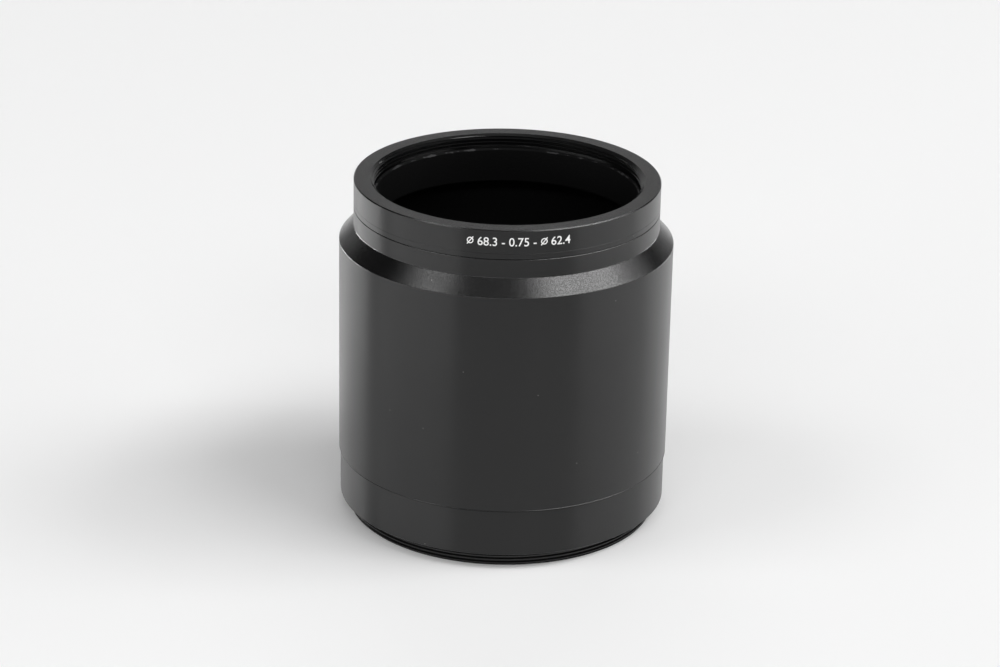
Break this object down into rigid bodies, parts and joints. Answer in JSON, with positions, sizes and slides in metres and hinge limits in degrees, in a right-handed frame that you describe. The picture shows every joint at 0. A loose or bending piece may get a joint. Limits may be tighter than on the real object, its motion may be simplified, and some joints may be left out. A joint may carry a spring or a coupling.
{
  "type": "conversion lens adapter",
  "caption": "Black anodised tube that holds a conversion lens in front of a camera: male thread and grip ring at one end, stepped neck and ring with female thread at the other.",
  "frame": {"origin": "centre of the end face of the rear male thread, which the adapter stands on", "axes": "+Z along the optical axis from the camera towards the conversion lens, -Y towards the side with the size marking"},
  "size_m": [0.0684, 0.0684, 0.0719],
  "materials": {
    "black_anodised": "satin",
    "white_marking": "matte"
  },
  "bodies": {
    "barrel": {"barrel": "black_anodised"},
    "front_ring": {"front_ring": "black_anodised"},
    "rear_ring": {"rear_ring": "black_anodised"}
  },
  "joints": [
    {"name": "front_ring_unscrew", "type": "slide", "parent": "barrel", "child": "front_ring", "axis": [0, 0, 1], "range_m": [0, 0.009]},
    {"name": "rear_ring_unscrew", "type": "slide", "parent": "rear_ring", "child": "barrel", "axis": [0, 0, 1], "range_m": [0, 0.009]}
  ]
}
